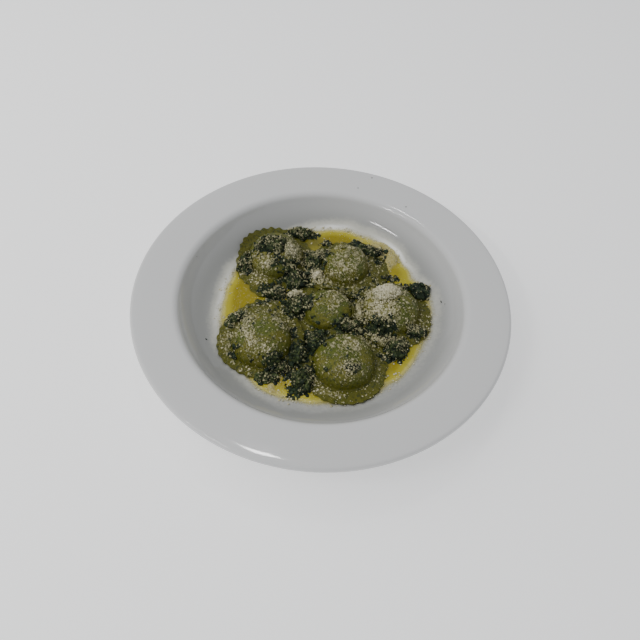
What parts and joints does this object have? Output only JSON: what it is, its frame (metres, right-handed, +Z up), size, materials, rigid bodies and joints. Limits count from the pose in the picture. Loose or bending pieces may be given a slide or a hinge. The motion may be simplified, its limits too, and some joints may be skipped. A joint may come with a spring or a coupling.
{
  "type": "plate of ravioli",
  "caption": "Deep white pasta plate holding overlapping green fluted round ravioli with wilted chopped greens, melted butter and grated cheese.",
  "frame": {"origin": "centre of the plate's foot ring, on the surface that it stands on", "axes": "+Z up, +Y away from the diner, +X to the diner's right"},
  "size_m": [0.27, 0.27, 0.0336],
  "materials": {
    "plate": "white glazed porcelain, glossy",
    "dough": "cooked green egg pasta, moist and slightly glossy",
    "greens": "wilted chopped leaves, dark green and wet",
    "cheese": "finely grated hard cheese, partly melted, cream coloured",
    "butter": "melted butter, yellow and glossy"
  },
  "bodies": {
    "root": {"plate": "plate", "ravioli_centre": "dough", "ravioli_far_left": "dough", "ravioli_far": "dough", "ravioli_near": "dough", "ravioli_near_left": "dough", "ravioli_right": "dough", "greens_far_left": "greens", "greens_on_far_left": "greens", "greens_left_edge": "greens", "greens_far_middle": "greens", "greens_beside_far": "greens", "greens_middle": "greens", "greens_middle_left": "greens", "greens_near_middle": "greens", "greens_between": "greens", "greens_near": "greens", "greens_near_left": "greens", "greens_left_border": "greens", "greens_left": "greens", "greens_seam": "greens", "greens_right_seam": "greens", "greens_near_right": "greens", "greens_right_border": "greens", "greens_right": "greens", "greens_far_right": "greens", "cheese_right": "cheese", "cheese_far_left": "cheese", "cheese_middle": "cheese"}
  },
  "joints": []
}
